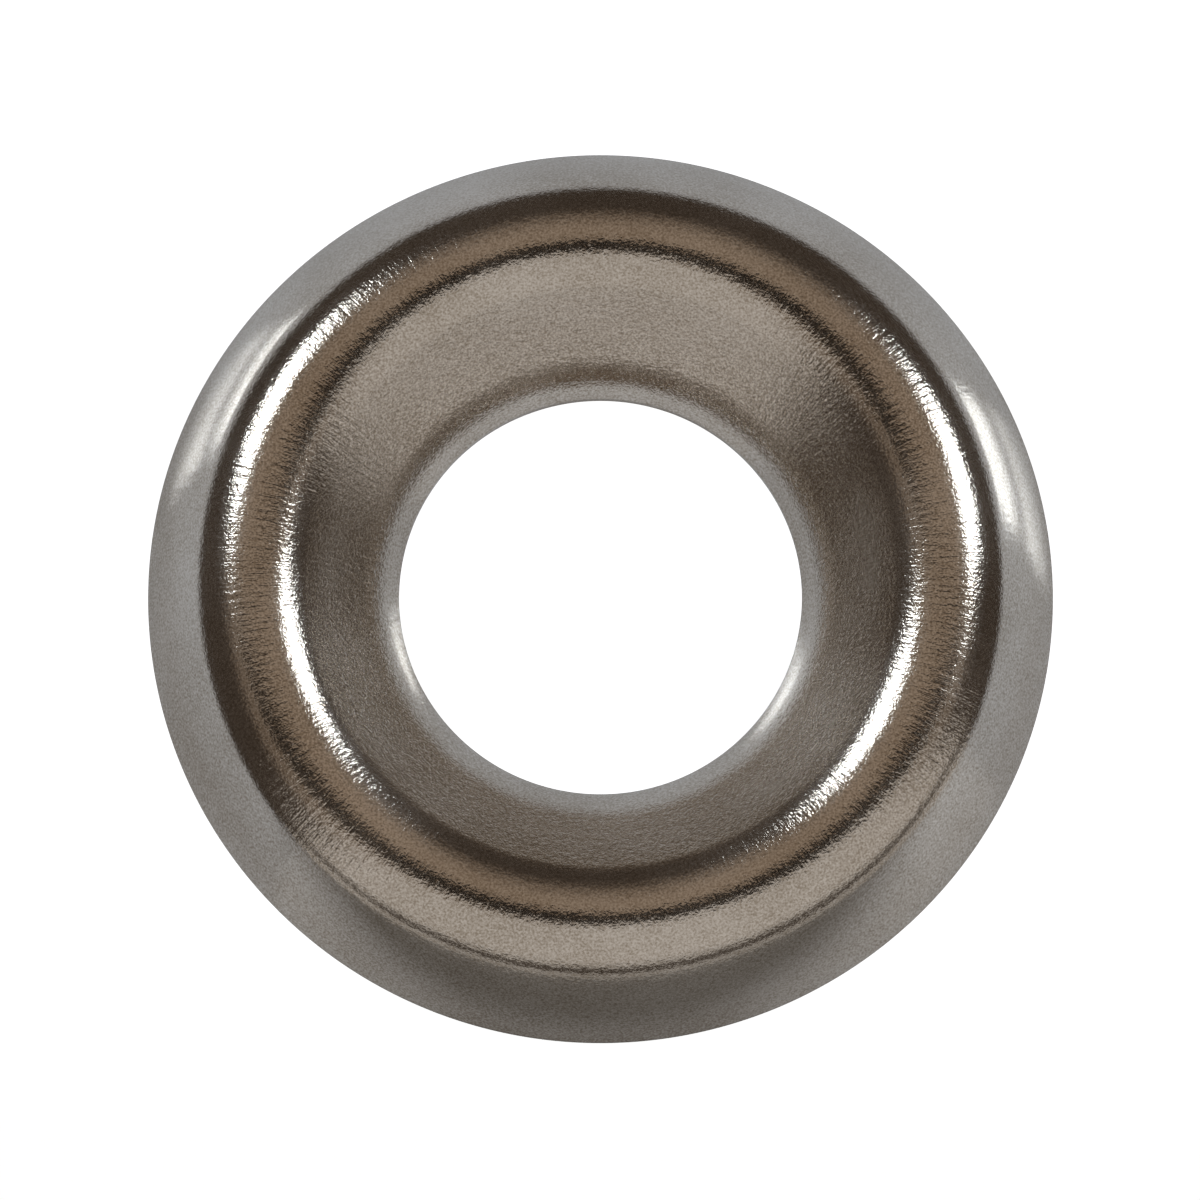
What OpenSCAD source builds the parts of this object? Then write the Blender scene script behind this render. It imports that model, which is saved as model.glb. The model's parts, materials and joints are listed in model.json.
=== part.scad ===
// Finishing cup washer: a ring of thin sheet, pressed up into a crest. The cone inside the crest
// takes a countersunk screw's head, and the skirt outside it runs down to the rim.
// The axis is +Z. The rim's foot and the underside of the hole's edge lie on the seat, z = 0.

/* [Washer] */
// Diameter across the rim
rim_d = 14.3; // [13.6:0.1:18]
// Diameter of the screw's hole
hole_d = 6.35; // [4.5:0.05:7]
// Height of the crest above the seat
height = 2.12; // [1.8:0.02:2.8]
// Thickness of the sheet
sheet = 0.4; // [0.25:0.05:0.6]

/* [Crest and skirt] */
// Diameter of the circle along the top of the crest
crest_d = 10.82; // [10:0.02:11.4]
// Radius of the top face over the crest
crest_bend = 1.15; // [0.8:0.05:1.4]
// Radius of the top face down the skirt, which is slightly bowed
skirt_bend = 10; // [3:0.1:20]

/* [Hole's edge] */
// Height of the hole's edge above the seat
lip_h = 0.17; // [0.1:0.01:0.4]
// Radius of the top face where the cone turns down into the hole
lip_bend = 2.5; // [0.8:0.1:3]
// Slope of the top face at the hole's edge, in degrees from level
lip_slope = 66; // [56:1:76]

/* [Hidden] */

rim_r = rim_d / 2;
hole_r = hole_d / 2;
crest_r = crest_d / 2;

// A level below the seat, for faces that run on past it before they are cut off
below_seat = -height;
// How far a face starts inside the bend that it leaves, so that the two cross
overlap = 0.0002;

// The direction square to a face. A positive slope falls outwards, and a negative one falls to the hole
function square_to(slope) = [sin(slope), cos(slope)];
function slope_under(direction) = atan2(direction.x, direction.y);

// Centres of the bends over the crest and at the hole's edge, in the half section
crest_c = [crest_r, height - crest_bend];
lip_c = [hole_r, lip_h] - lip_bend * square_to(-lip_slope);

// The cone is the straight face that touches both of those bends
lip_to_crest = crest_c - lip_c;
cone_slope = slope_under(lip_to_crest) - acos((lip_bend - crest_bend) / norm(lip_to_crest));

// The skirt's bend carries on from the crest's at skirt_slope, and meets the seat at the rim
crest_to_rim = [rim_r, 0] - crest_c;
rim_reach = norm(crest_to_rim);
bend_gain = skirt_bend - crest_bend;
skirt_turn = acos((skirt_bend ^ 2 - bend_gain ^ 2 - rim_reach ^ 2) / (2 * bend_gain * rim_reach));
skirt_slope = slope_under(crest_to_rim) - skirt_turn;
skirt_c = crest_c - bend_gain * square_to(skirt_slope);

module disc(centre, radius) {
    translate(centre) circle(r = radius, $fn = 180);
}

// Everything in the half section under the face that lies this deep below the sheet's top
module under_face(deep) {
    cone_top = crest_c + (crest_bend - deep - overlap) * square_to(cone_slope);
    cone_foot = lip_c + (lip_bend - deep - overlap) * square_to(cone_slope);
    crest_side = crest_r + (crest_bend - deep) / 2;

    // Under the crest
    disc(crest_c, crest_bend - deep);
    // Under the skirt, from where it leaves the crest
    intersection() {
        disc(skirt_c, skirt_bend - deep - overlap);
        polygon([
            crest_c,
            crest_c + rim_d * square_to(skirt_slope),
            [rim_d, below_seat],
            [crest_r, below_seat],
        ]);
    }
    // Under the cone, and on to the middle of the crest
    polygon([
        cone_top,
        cone_foot,
        [cone_foot.x, below_seat],
        [crest_side, below_seat],
        [crest_side, crest_c.y],
    ]);
    // Under the hole's edge, and no further out than the middle of the crest
    intersection() {
        disc(lip_c, lip_bend - deep);
        translate([0, below_seat]) square([crest_r, height - below_seat]);
    }
}

// The sheet, cut off at the hole, at the rim and on the seat
module half_section() {
    intersection() {
        difference() {
            under_face(0);
            under_face(sheet);
        }
        translate([hole_r, 0]) square([rim_r - hole_r, height]);
    }
}

// The whole washer, one stamping
module cup_washer() {
    color([0.62, 0.59, 0.55]) rotate_extrude($fn = 180) half_section();
}

cup_washer();
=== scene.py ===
"""Dresses the finishing cup washer: its section turned finely in nickel plate, in a small studio."""

import json
import math

import bmesh
import bpy
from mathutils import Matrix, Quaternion, Vector


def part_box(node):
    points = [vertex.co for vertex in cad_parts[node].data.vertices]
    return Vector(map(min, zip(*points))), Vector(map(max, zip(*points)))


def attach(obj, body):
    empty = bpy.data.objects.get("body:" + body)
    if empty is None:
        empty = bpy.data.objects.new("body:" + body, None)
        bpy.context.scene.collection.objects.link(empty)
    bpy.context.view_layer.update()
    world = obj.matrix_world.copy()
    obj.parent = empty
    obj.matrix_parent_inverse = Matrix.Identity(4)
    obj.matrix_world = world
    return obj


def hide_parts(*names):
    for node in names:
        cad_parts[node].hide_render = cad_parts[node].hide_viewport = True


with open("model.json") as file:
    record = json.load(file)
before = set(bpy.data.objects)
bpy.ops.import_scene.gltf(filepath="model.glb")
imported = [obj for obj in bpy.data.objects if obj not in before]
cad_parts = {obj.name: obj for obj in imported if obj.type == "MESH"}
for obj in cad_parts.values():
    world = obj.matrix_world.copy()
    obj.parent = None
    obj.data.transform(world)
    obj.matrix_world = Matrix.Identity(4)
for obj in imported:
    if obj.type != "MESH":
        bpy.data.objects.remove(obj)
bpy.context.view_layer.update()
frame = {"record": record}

MM = 0.001
WHITE = (1, 1, 1, 1)
BLACK = (0, 0, 0, 1)

# The section's own sizes. The rim, the height and the hole come from the frame
CREST_R = 5.41 * MM
CREST_BEND = 1.15 * MM
SKIRT_BEND = 10 * MM
LIP_BEND = 2.5 * MM
LIP_SLOPE = math.radians(66)
SHEET = 0.4 * MM
EDGE_ROUND = 0.03 * MM

# How finely the washer is turned
SEGMENTS = 384
BEND_STEPS = 24
ROUND_STEPS = 4
SHARP_ANGLE = math.radians(35)

# The plate's noises, each by its scale, its detail and its roughness
STREAK_NOISE = (75.0, 3.0, 0.6)
PEEL_NOISE = (12000.0, 2.0, 0.55)
GRAIN_NOISE = (28000.0, 1.0, 0.5)
PATCH_NOISE = (420.0, 3.0, 0.6)
# Where most of a noise's values lie
NOISE_RANGE = (0.3, 0.7)
# How fast the streaks change along the section, per metre
STREAK_DRAW = 25.0
# What the noises add to the plate's relief, and the depth of that relief
STREAK_RELIEF = 1.5
PEEL_RELIEF = 1.2
GRAIN_RELIEF = 0.7
RELIEF_DEPTH = 0.006 * MM
# The plate's colour follows its grain and its patches, from dark to pale, with this share to the grain
PLATE_COLOURS = (
    (0.35, (0.44, 0.39, 0.33, 1)),
    (0.5, (0.64, 0.60, 0.55, 1)),
    (0.65, (0.82, 0.79, 0.75, 1)),
)
GRAIN_TINT = 0.7
# The finish by radius: how rough the plate is, and the share of its relief that shows
FINISH = (
    (3.3 * MM, 0.12, 0.5),
    (3.8 * MM, 0.22, 1.0),
    (4.3 * MM, 0.25, 1.0),
    (5.0 * MM, 0.16, 0.7),
    (6.2 * MM, 0.16, 0.7),
    (6.5 * MM, 0.08, 0.25),
)
# How far the patches spread that roughness
ROUGHNESS_SPREAD = (0.85, 1.15)

# The camera: how high it looks from, the width of its view at the washer, and its lens
VIEW_ELEVATION = math.radians(78.9)
VIEW_WIDTH = 18.925 * MM
LENS = 1000.0
SENSOR = 36.0
# How far the view's middle lies from the axis, rightwards and upwards in the picture
VIEW_OFFSET = (-0.008 * MM, -0.026 * MM)

# The lamps, as directions from the washer in degrees: azimuth from +X towards +Y, and elevation
LAMP_RIGHT = (29, 38)
LAMP_LEFT = (140, 37)
LAMP_ROLL = 13
LAMP_AWAY = 0.5
LAMP_RADIANCE = 9.0
LAMP_COLOUR = (0.92, 0.97, 1.0)
# Each lamp is two strips, one above the other, with this far between their middles
STRIP_STEP = 0.096
STRIP_SIZE = (0.14, 0.068)

# A flat pale card that leans over the washer from the camera's side, narrower at its top
CARD_AZIMUTH = 279
CARD_SPREAD = 66
# The card's foot and its top, each by its elevation in degrees and its distance along the floor
CARD_FOOT = (5, 0.32)
CARD_TOP = (77, 0.075)
CARD_COLOUR = (0.86, 0.79, 0.72, 1)
CARD_STRENGTH = 0.58
# The share of that strength at floor level, and the height from which the card has all of it
CARD_DIM = 0.35
CARD_DIM_TO = 0.08

# A dark boom overhead, which would carry the camera
BOOM_HEIGHT = 0.42
BOOM_X = (-0.3, 0.3)
BOOM_Y = (-0.09, 0.04)

# The room's colour by how far up a direction points, from 0 for level to 1 for straight up
WALL_COLOUR = (0.058, 0.044, 0.034, 1)
CEILING_COLOUR = (0.29, 0.222, 0.166, 1)
ROOM_COLOURS = ((0.55, WALL_COLOUR), (0.9, CEILING_COLOUR))

FLOOR_HALF = 1.5
FLOOR_DROP = 0.01 * MM
FLOOR_ROUGHNESS = 0.5
# The floor's colour, and the dark painted shade that it turns to on the camera's side, between these
# places along Y
FLOOR_COLOUR = (0.64, 0.685, 0.75, 1)
FLOOR_PAINTED_SHADE = (0.07, 0.07, 0.07, 1)
FLOOR_SHADE_FROM = -8.6 * MM
FLOOR_SHADE_TO = -5 * MM
# How far the floor is lifted to white for the camera, and the share of that which polished things mirror
FLOOR_LIFT = 0.96
FLOOR_LIFT_MIRRORED = 0.075
# The floor's polish by how far a ray leans from square to it: a sheen, and then a mirror
SHEEN_COLOURS = ((0.28, (0.01, 0.01, 0.01, 1)), (0.42, (0.15, 0.15, 0.15, 1)))
MIRROR_SHARES = ((0.68, BLACK), (0.84, WHITE))
MIRROR_COLOUR = (0.8, 0.8, 0.8, 1)
POLISH_ROUGHNESS = 0.04


def square_to(slope):
    """The direction square to a face of the section, which falls outwards for a positive slope."""
    return Vector((math.sin(slope), math.cos(slope)))


def slope_under(direction):
    """The slope of the face that a direction is square to."""
    return math.atan2(direction.x, direction.y)


def bend(centre, radius, start, end):
    """Points along a round stretch of the section, from one slope to another."""
    turns = [start + (end - start) * i / BEND_STEPS for i in range(BEND_STEPS + 1)]
    return [centre + radius * square_to(turn) for turn in turns]


def round_corner(before, corner, after, radius):
    """Points along a small round that takes the place of a corner between two faces."""
    inward, onward = (before - corner).normalized(), (after - corner).normalized()
    half = inward.angle(onward) / 2
    centre = corner + (inward + onward).normalized() * radius / math.sin(half)
    first = corner + inward * radius / math.tan(half) - centre
    last = corner + onward * radius / math.tan(half) - centre
    mixes = [first.lerp(last, i / ROUND_STEPS) for i in range(ROUND_STEPS + 1)]
    return [centre + mix.normalized() * radius for mix in mixes]


def washer_section(rim_r, height, hole_r, lip_h):
    """The half section's closed outline, from the hole's edge over the crest to the rim and back under."""
    crest_c = Vector((CREST_R, height - CREST_BEND))
    hole_edge = Vector((hole_r, lip_h))
    rim_foot = Vector((rim_r, 0))
    lip_c = hole_edge - LIP_BEND * square_to(-LIP_SLOPE)

    # The cone is the straight face that touches the bends at the hole's edge and over the crest
    lip_to_crest = crest_c - lip_c
    cone_slope = slope_under(lip_to_crest) - math.acos((LIP_BEND - CREST_BEND) / lip_to_crest.length)

    # The skirt's bend carries on from the crest's, and meets the seat at the rim
    crest_to_rim = rim_foot - crest_c
    reach, gain = crest_to_rim.length, SKIRT_BEND - CREST_BEND
    skirt_turn = math.acos((SKIRT_BEND**2 - gain**2 - reach**2) / (2 * gain * reach))
    skirt_slope = slope_under(crest_to_rim) - skirt_turn
    skirt_c = crest_c - gain * square_to(skirt_slope)

    def face(depth):
        """The sheet's face this deep under its top, from the hole to the seat at the rim."""
        lip_end = -LIP_SLOPE if depth == 0 else -math.acos(-lip_c.y / (LIP_BEND - depth))
        rim_end = math.acos(-skirt_c.y / (SKIRT_BEND - depth))
        return (
            bend(lip_c, LIP_BEND - depth, lip_end, cone_slope)
            + bend(crest_c, CREST_BEND - depth, cone_slope, 0)
            + bend(crest_c, CREST_BEND - depth, 0, skirt_slope)[1:]
            + bend(skirt_c, SKIRT_BEND - depth, skirt_slope, rim_end)[1:]
        )

    top, under = face(0), face(SHEET)
    hole_foot = Vector((hole_r, 0))
    hole_round = round_corner(hole_foot, hole_edge, top[1], EDGE_ROUND)
    rim_round = round_corner(top[-2], rim_foot, under[-1], EDGE_ROUND)
    return hole_round + top[1:-1] + rim_round + under[::-1] + [hole_foot]


def turn(name, outline):
    """A mesh object turned about the Z axis from a closed outline of radius and height."""
    build = bmesh.new()
    rings = []
    for i in range(SEGMENTS):
        angle = 2 * math.pi * i / SEGMENTS
        across, along = math.cos(angle), math.sin(angle)
        rings.append([build.verts.new((p.x * across, p.x * along, p.y)) for p in outline])
    for i, ring in enumerate(rings):
        following = rings[(i + 1) % SEGMENTS]
        for j in range(len(outline)):
            k = (j + 1) % len(outline)
            build.faces.new((ring[j], following[j], following[k], ring[k]))
    bmesh.ops.recalc_face_normals(build, faces=build.faces)
    mesh = bpy.data.meshes.new(name)
    build.to_mesh(mesh)
    build.free()
    mesh.polygons.foreach_set("use_smooth", [True] * len(mesh.polygons))
    mesh.set_sharp_from_angle(angle=SHARP_ANGLE)
    piece = bpy.data.objects.new(name, mesh)
    bpy.context.scene.collection.objects.link(piece)
    return piece


class Nodes:
    """A node tree that is written as nested calls: each call adds a node and wires or sets its inputs."""

    def __init__(self, owner):
        owner.use_nodes = True
        self.tree = owner.node_tree
        self.tree.nodes.clear()

    def add(self, kind, inputs=None, **settings):
        """A new node, with its settings made first and its inputs then wired to sockets or set."""
        node = self.tree.nodes.new(kind)
        for name, value in settings.items():
            setattr(node, name, value)
        for key, value in (inputs or {}).items():
            if isinstance(value, bpy.types.NodeSocket):
                self.tree.links.new(value, node.inputs[key])
            else:
                node.inputs[key].default_value = value
        return node

    def maths(self, operation, *values):
        return self.add("ShaderNodeMath", dict(enumerate(values)), operation=operation).outputs[0]

    def vector(self, operation, *values):
        return self.add("ShaderNodeVectorMath", dict(enumerate(values)), operation=operation).outputs[0]

    def noise(self, place, scale, detail, roughness):
        inputs = {"Vector": place, "Scale": scale, "Detail": detail, "Roughness": roughness}
        return self.add("ShaderNodeTexNoise", inputs).outputs["Fac"]

    def ramp(self, factor, *stops):
        """A colour ramp from (position, colour) pairs."""
        node = self.add("ShaderNodeValToRGB", {"Fac": factor})
        node.color_ramp.elements[0].position, node.color_ramp.elements[0].color = stops[0]
        node.color_ramp.elements[1].position, node.color_ramp.elements[1].color = stops[-1]
        for position, colour in stops[1:-1]:
            node.color_ramp.elements.new(position).color = colour
        return node.outputs["Color"]

    def spread(self, noise, low, high):
        """A noise, spread over a range of values."""
        least, most = NOISE_RANGE
        inputs = {"Value": noise, "From Min": least, "From Max": most, "To Min": low, "To Max": high}
        return self.add("ShaderNodeMapRange", inputs).outputs["Result"]


def nickel_plate():
    """Warm grey nickel: a fine orange peel, and faint streaks that run from the hole to the rim."""
    material = bpy.data.materials.new("nickel_plate")
    nodes = Nodes(material)
    place = nodes.add("ShaderNodeTexCoord").outputs["Object"]

    # Radial streaks: noise over the direction from the axis, drawn out along the section
    parts = nodes.add("ShaderNodeSeparateXYZ", {"Vector": place}).outputs
    flat = nodes.add("ShaderNodeCombineXYZ", {"X": parts["X"], "Y": parts["Y"]}).outputs[0]
    around = nodes.vector("NORMALIZE", flat)
    radius = nodes.add("ShaderNodeVectorMath", {0: flat}, operation="LENGTH").outputs["Value"]
    outwards = nodes.maths("MULTIPLY", nodes.maths("ADD", radius, parts["Z"]), STREAK_DRAW)
    drawn = nodes.add("ShaderNodeCombineXYZ", {"Z": outwards}).outputs[0]
    streaks = nodes.noise(nodes.vector("ADD", around, drawn), *STREAK_NOISE)

    peel = nodes.noise(place, *PEEL_NOISE)
    grain = nodes.noise(place, *GRAIN_NOISE)
    patches = nodes.noise(place, *PATCH_NOISE)

    # The die left the skirt and the hole's edge smooth, the crest bright and the cone dull
    outermost = FINISH[-1][0]
    stops = [(at / outermost, (rough, shown, 0, 1)) for at, rough, shown in FINISH]
    levels = nodes.ramp(nodes.maths("DIVIDE", radius, outermost), *stops)
    finish = nodes.add("ShaderNodeSeparateXYZ", {"Vector": levels}).outputs
    roughness, relief_share = finish["X"], finish["Y"]

    streak_relief = nodes.maths("MULTIPLY", streaks, STREAK_RELIEF)
    peel_relief = nodes.maths("MULTIPLY", peel, PEEL_RELIEF)
    grain_relief = nodes.maths("MULTIPLY", grain, GRAIN_RELIEF)
    relief = nodes.maths("ADD", nodes.maths("ADD", streak_relief, peel_relief), grain_relief)
    bump_inputs = {"Strength": relief_share, "Distance": RELIEF_DEPTH, "Height": relief}

    patch_tint = nodes.maths("MULTIPLY", patches, 1 - GRAIN_TINT)
    tint = nodes.maths("ADD", patch_tint, nodes.maths("MULTIPLY", grain, GRAIN_TINT))
    shader = nodes.add(
        "ShaderNodeBsdfPrincipled",
        {
            "Base Color": nodes.ramp(tint, *PLATE_COLOURS),
            "Metallic": 1.0,
            "Roughness": nodes.maths("MULTIPLY", roughness, nodes.spread(patches, *ROUGHNESS_SPREAD)),
            "Normal": nodes.add("ShaderNodeBump", bump_inputs).outputs["Normal"],
        },
    )
    nodes.add("ShaderNodeOutputMaterial", {"Surface": shader.outputs[0]})
    return material


def floor_white():
    """A pale polished floor, which is lifted to white where the camera sees it, with painted shade on the
    camera's side.
    """
    material = bpy.data.materials.new("floor_white")
    nodes = Nodes(material)
    place = nodes.add("ShaderNodeTexCoord").outputs["Object"]
    along = nodes.add("ShaderNodeSeparateXYZ", {"Vector": place}).outputs["Y"]
    # Painted shade: the floor darkens towards the camera's side, in its colour and in the lift that
    # polished things mirror
    span = {"Value": along, "From Min": FLOOR_SHADE_FROM, "From Max": FLOOR_SHADE_TO}
    shade = nodes.add("ShaderNodeMapRange", span, interpolation_type="SMOOTHSTEP").outputs["Result"]

    path = nodes.add("ShaderNodeLightPath").outputs
    mirrored = nodes.maths("ADD", path["Is Glossy Ray"], path["Is Transmission Ray"])
    share = nodes.maths("MULTIPLY", shade, FLOOR_LIFT_MIRRORED)
    lift = nodes.maths("ADD", path["Is Camera Ray"], nodes.maths("MULTIPLY", mirrored, share))
    matte = nodes.add(
        "ShaderNodeBsdfPrincipled",
        {
            "Base Color": nodes.ramp(shade, (0.0, FLOOR_PAINTED_SHADE), (1.0, FLOOR_COLOUR)),
            "Roughness": FLOOR_ROUGHNESS,
            "Emission Color": WHITE,
            "Emission Strength": nodes.maths("MULTIPLY", lift, FLOOR_LIFT),
        },
    )

    # At a low angle the floor mirrors the room, though not for the camera
    lean = nodes.add("ShaderNodeLayerWeight").outputs["Facing"]
    unseen = nodes.maths("SUBTRACT", 1.0, path["Is Camera Ray"])
    mirror_share = nodes.maths("MULTIPLY", nodes.ramp(lean, *MIRROR_SHARES), unseen)
    mirror = nodes.add("ShaderNodeBsdfGlossy", {"Color": MIRROR_COLOUR, "Roughness": POLISH_ROUGHNESS})
    body = nodes.add("ShaderNodeMixShader", {0: mirror_share, 1: matte.outputs[0], 2: mirror.outputs[0]})

    sheen = nodes.ramp(lean, *SHEEN_COLOURS)
    polish = nodes.add("ShaderNodeBsdfGlossy", {"Color": sheen, "Roughness": POLISH_ROUGHNESS})
    shader = nodes.add("ShaderNodeAddShader", {0: body.outputs[0], 1: polish.outputs[0]})
    nodes.add("ShaderNodeOutputMaterial", {"Surface": shader.outputs[0]})
    return material


def toward(azimuth, elevation, away):
    """The point this far from the washer in a direction given in degrees."""
    azimuth, elevation = math.radians(azimuth), math.radians(elevation)
    flat = math.cos(elevation)
    return away * Vector((flat * math.cos(azimuth), flat * math.sin(azimuth), math.sin(elevation)))


def add_lamp(name, azimuth, elevation, roll):
    """A soft box of two strips that faces the washer, turned in its own plane by the roll."""
    middle = toward(azimuth, elevation, LAMP_AWAY)
    facing = middle.to_track_quat("Z", "Y") @ Quaternion((0, 0, 1), math.radians(roll))
    for side in (-0.5, 0.5):
        light = bpy.data.lights.new(name, "AREA")
        light.shape = "RECTANGLE"
        light.color = LAMP_COLOUR
        light.size, light.size_y = STRIP_SIZE
        light.energy = LAMP_RADIANCE * math.pi * light.size * light.size_y
        strip = bpy.data.objects.new(name, light)
        strip.location = middle + facing @ Vector((0, side * STRIP_STEP, 0))
        strip.rotation_euler = facing.to_euler()
        strip.visible_camera = False
        bpy.context.scene.collection.objects.link(strip)


def add_sheet(name, corners, material, seen=False):
    """A flat four-cornered sheet of the studio, which the camera looks past unless it is to be seen."""
    mesh = bpy.data.meshes.new(name)
    mesh.from_pydata(corners, [], [(0, 1, 2, 3)])
    mesh.materials.append(material)
    sheet = bpy.data.objects.new(name, mesh)
    sheet.visible_camera = seen
    bpy.context.scene.collection.objects.link(sheet)


def add_card():
    """The pale card, dimmer near the floor."""
    corners = []
    for (elevation, along), sides in ((CARD_FOOT, (-1, 1)), (CARD_TOP, (1, -1))):
        for side in sides:
            azimuth = math.radians(CARD_AZIMUTH + side * CARD_SPREAD)
            away = along / math.cos(math.radians(CARD_SPREAD))
            rise = along * math.tan(math.radians(elevation))
            corners.append((away * math.cos(azimuth), away * math.sin(azimuth), rise))

    material = bpy.data.materials.new("card_pale")
    nodes = Nodes(material)
    place = nodes.add("ShaderNodeTexCoord").outputs["Object"]
    height = nodes.add("ShaderNodeSeparateXYZ", {"Vector": place}).outputs["Z"]
    dimmest = CARD_DIM * CARD_STRENGTH
    span = {"Value": height, "From Max": CARD_DIM_TO, "To Min": dimmest, "To Max": CARD_STRENGTH}
    strength = nodes.add("ShaderNodeMapRange", span).outputs["Result"]
    glow = nodes.add("ShaderNodeEmission", {"Color": CARD_COLOUR, "Strength": strength})
    nodes.add("ShaderNodeOutputMaterial", {"Surface": glow.outputs[0]})
    add_sheet("card", corners, material)


def add_boom():
    """The dark boom overhead."""
    (left, right), (front, back) = BOOM_X, BOOM_Y
    corners = [(left, front), (right, front), (right, back), (left, back)]
    material = bpy.data.materials.new("boom_dark")
    nodes = Nodes(material)
    matte = nodes.add("ShaderNodeBsdfDiffuse", {"Color": WALL_COLOUR})
    nodes.add("ShaderNodeOutputMaterial", {"Surface": matte.outputs[0]})
    add_sheet("boom", [(x, y, BOOM_HEIGHT) for x, y in corners], material)


def add_floor():
    """The floor, just under the washer's seat."""
    sides = [(-1, -1), (1, -1), (1, 1), (-1, 1)]
    corners = [(x * FLOOR_HALF, y * FLOOR_HALF, -FLOOR_DROP) for x, y in sides]
    add_sheet("floor", corners, floor_white(), seen=True)


def add_room():
    """A dim room: a brown ceiling over dark walls, and white where the camera looks past the floor."""
    world = bpy.data.worlds.new("room")
    bpy.context.scene.world = world
    nodes = Nodes(world)
    direction = nodes.add("ShaderNodeTexCoord").outputs["Generated"]
    height = nodes.add("ShaderNodeSeparateXYZ", {"Vector": direction}).outputs["Z"]
    seen = nodes.add("ShaderNodeLightPath").outputs["Is Camera Ray"]
    # A mix of colours has them at its inputs 6 and 7, and what comes of them at its output 2
    mix_inputs = {"Factor": seen, 6: nodes.ramp(height, *ROOM_COLOURS), 7: WHITE}
    colour = nodes.add("ShaderNodeMix", mix_inputs, data_type="RGBA").outputs[2]
    background = nodes.add("ShaderNodeBackground", {"Color": colour})
    nodes.add("ShaderNodeOutputWorld", {"Surface": background.outputs[0]})


def add_camera():
    """A camera far off behind a long lens, at the photograph's angle."""
    camera_data = bpy.data.cameras.new("camera")
    camera_data.lens, camera_data.sensor_width = LENS, SENSOR
    camera = bpy.data.objects.new("camera", camera_data)
    back = Vector((0, -math.cos(VIEW_ELEVATION), math.sin(VIEW_ELEVATION)))
    up = Vector((0, math.sin(VIEW_ELEVATION), math.cos(VIEW_ELEVATION)))
    aim = Vector((VIEW_OFFSET[0], 0, 0)) + VIEW_OFFSET[1] * up
    camera.location = aim + back * VIEW_WIDTH * LENS / SENSOR
    camera.rotation_euler = back.to_track_quat("Z", "Y").to_euler()
    bpy.context.scene.collection.objects.link(camera)
    bpy.context.scene.camera = camera


# The hole's sizes come from its mount, and the rim's and the height from the washer's box
hole = next(mount for mount in frame["record"]["mounts"] if mount["name"] == "hole")
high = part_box("cup_washer")[1]
washer = turn(
    "plated_washer",
    washer_section(high.x, high.z, hole["dims"]["r_mm"] * MM, hole["dims"]["length_mm"] * MM),
)
washer.data.materials.append(nickel_plate())
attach(washer, "root")
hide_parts("cup_washer")

add_floor()
add_card()
add_boom()
add_lamp("lamp_right", *LAMP_RIGHT, LAMP_ROLL)
add_lamp("lamp_left", *LAMP_LEFT, -LAMP_ROLL)
add_room()
add_camera()
bpy.context.scene.view_settings.view_transform = "Standard"
